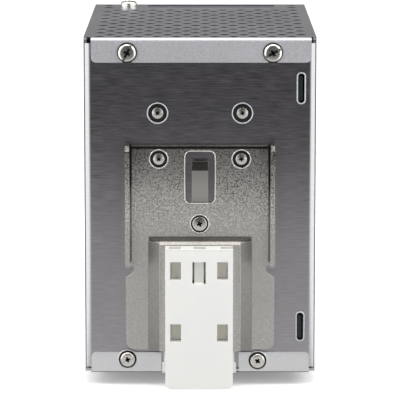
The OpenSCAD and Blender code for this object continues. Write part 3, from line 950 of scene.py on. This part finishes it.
class OBJECT_OT_supply_stage(bpy.types.Operator):
    """Lays the floor and sets the lights, the surroundings and the camera"""

    bl_idname = "object.supply_stage"
    bl_label = "Stage"

    def floor(self):
        """Pale floor; the sheets mirror it darker ahead of the clip and behind, and a painted
        shadow darkens it beneath the case.
        """
        pick_nothing()
        base = min(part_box("rail_slider")[0].z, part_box("bottom_cover")[0].z) - 0.4 * MM
        bpy.ops.mesh.primitive_grid_add(
            x_subdivisions=8, y_subdivisions=8, size=16, location=(0, 0, base)
        )
        floor = bpy.context.object
        settle()
        floor.name = "studio_floor"
        g = Graph("pale_floor")
        x, y, z = g.axes(1)
        aside = x.size()
        ahead = (1 - (aside - y * 0.3).step(0.07, 0.14)) * y.step(-0.02, 0.0)
        ahead_tone = 0.62 - y.step(0.0, 0.74) * 0.53
        # Painted shadow: the floor's glow is darkened beneath the case.
        under = (1 - aside.step(0.035, 0.05)) * y.band((-0.15, -0.125), (-0.01, 0.004))
        reach = (x * x + y * y + 0.0001).math("SQRT")
        behind = ((y * -1) / reach).step(0.5, 0.75) * reach.step(0.12, 0.2)
        open_tone = 1.35 - under * 1.3 - behind * 1.15 * (1 - under)
        mirrored = open_tone * (1 - ahead) + ahead_tone * ahead
        g.surface(
            Base_Color=g.mix(g.noise(60, 2) * 0.1, (0.95, 0.95, 0.95), (0.93, 0.93, 0.94)),
            Roughness=0.9,
            Specular_IOR_Level=0.0,
            Emission_Color=(1, 1, 1),
            Emission_Strength=0.22,
        )
        seen = g.add("ShaderNodeLightPath", {}, {}, "Is Camera Ray")
        glow = g.add(
            "ShaderNodeEmission", {}, {"Color": (1, 1, 1), "Strength": mirrored}, "Emission"
        )
        plain = Value(g, g.shader.outputs[0])
        both = g.add("ShaderNodeMixShader", {}, {0: seen, 1: glow, 2: plain}, 0)
        g.fill(g.tree.nodes["Material Output"].inputs["Surface"], both)
        floor.data.materials.append(g.material)

    def softbox(self, name, place, size):
        """Square lamp that faces the origin."""
        lamp = bpy.data.lights.new(name, "AREA")
        lamp.energy = 4
        lamp.size = size
        holder = bpy.data.objects.new(name, lamp)
        bpy.context.scene.collection.objects.link(holder)
        holder.location = place
        holder.rotation_euler = (-Vector(place)).to_track_quat("-Z", "Y").to_euler()

    def surroundings(self):
        """White to the camera; the sheets mirror it darker ahead of the clip and behind."""
        world = bpy.data.worlds.new("studio")
        world.use_nodes = True
        bpy.context.scene.world = world
        tree = world.node_tree
        g = Graph.__new__(Graph)  # a graph on the world's tree, with no material
        g.tree = tree
        spot = g.add("ShaderNodeTexCoord", {}, {}, "Generated")
        parts = g.add("ShaderNodeSeparateXYZ", {}, [spot])
        x, y, z = [Value(g, parts.socket.node.outputs[i]) for i in range(3)]
        turned = y / (x * x + y * y + 0.0001).math("SQRT")
        ahead = turned.step(0.88, 0.96) * (1 - z.step(0.82, 0.95))
        behind = (turned * -1).step(0.35, 0.7) * (1 - z.step(0.75, 0.95))
        glow = 1.35 - ahead * 1.28 - behind * 1.15
        seen = g.add("ShaderNodeLightPath", {}, {}, "Is Camera Ray")
        shown = seen + (1 - seen) * glow
        g.fill(tree.nodes["Background"].inputs[1], shown)
        g.fill(tree.nodes["Background"].inputs[0], (1, 1, 1))

    def execute(self, context):
        self.floor()
        self.surroundings()
        self.softbox("left_softbox", (1.1, 0.2, 0.9), 0.6)
        self.softbox("right_softbox", (-1.1, 0.2, 0.9), 0.6)
        self.softbox("top_softbox", (0, 0.3, 1.3), 0.8)
        camera = bpy.data.cameras.new("view")
        camera.lens = 256.05
        camera.sensor_width = 36
        camera.clip_start = 0.05
        camera.clip_end = 40
        holder = bpy.data.objects.new("view", camera)
        context.scene.collection.objects.link(holder)
        holder.location = (0, 1.0305, 0.1718)
        holder.rotation_euler = (math.radians(90 - 9.36), 0, math.radians(180))
        context.scene.camera = holder
        context.scene.view_settings.view_transform = "Standard"
        context.scene.view_settings.look = "None"
        return {"FINISHED"}


STEPS = (
    OBJECT_OT_supply_stage,
    OBJECT_OT_supply_case,
    OBJECT_OT_supply_clip,
    OBJECT_OT_supply_screws,
    OBJECT_OT_supply_terminals,
    OBJECT_OT_supply_controls,
    OBJECT_OT_supply_inside,
)


class VIEW3D_PT_rail_supply(bpy.types.Panel):
    """Lists the pieces of the power supply"""

    bl_idname = "VIEW3D_PT_rail_supply"
    bl_label = "Rail power supply"
    bl_space_type = "VIEW_3D"
    bl_region_type = "UI"
    bl_category = "Power supply"

    def draw(self, context):
        column = self.layout.column()
        for name in RailSupplyLook.__annotations__:
            column.prop(context.scene.rail_supply, name)
        for step in STEPS:
            column.operator(step.bl_idname)


CLASSES = (RailSupplyLook, *STEPS, VIEW3D_PT_rail_supply)


def register():
    for kind in CLASSES:
        bpy.utils.register_class(kind)
    bpy.types.Scene.rail_supply = bpy.props.PointerProperty(type=RailSupplyLook)


def unregister():
    del bpy.types.Scene.rail_supply
    for kind in reversed(CLASSES):
        bpy.utils.unregister_class(kind)


def main():
    register()
    for step in STEPS:
        group, name = step.bl_idname.split(".")
        getattr(getattr(bpy.ops, group), name)()


if __name__ == "__main__":
    main()
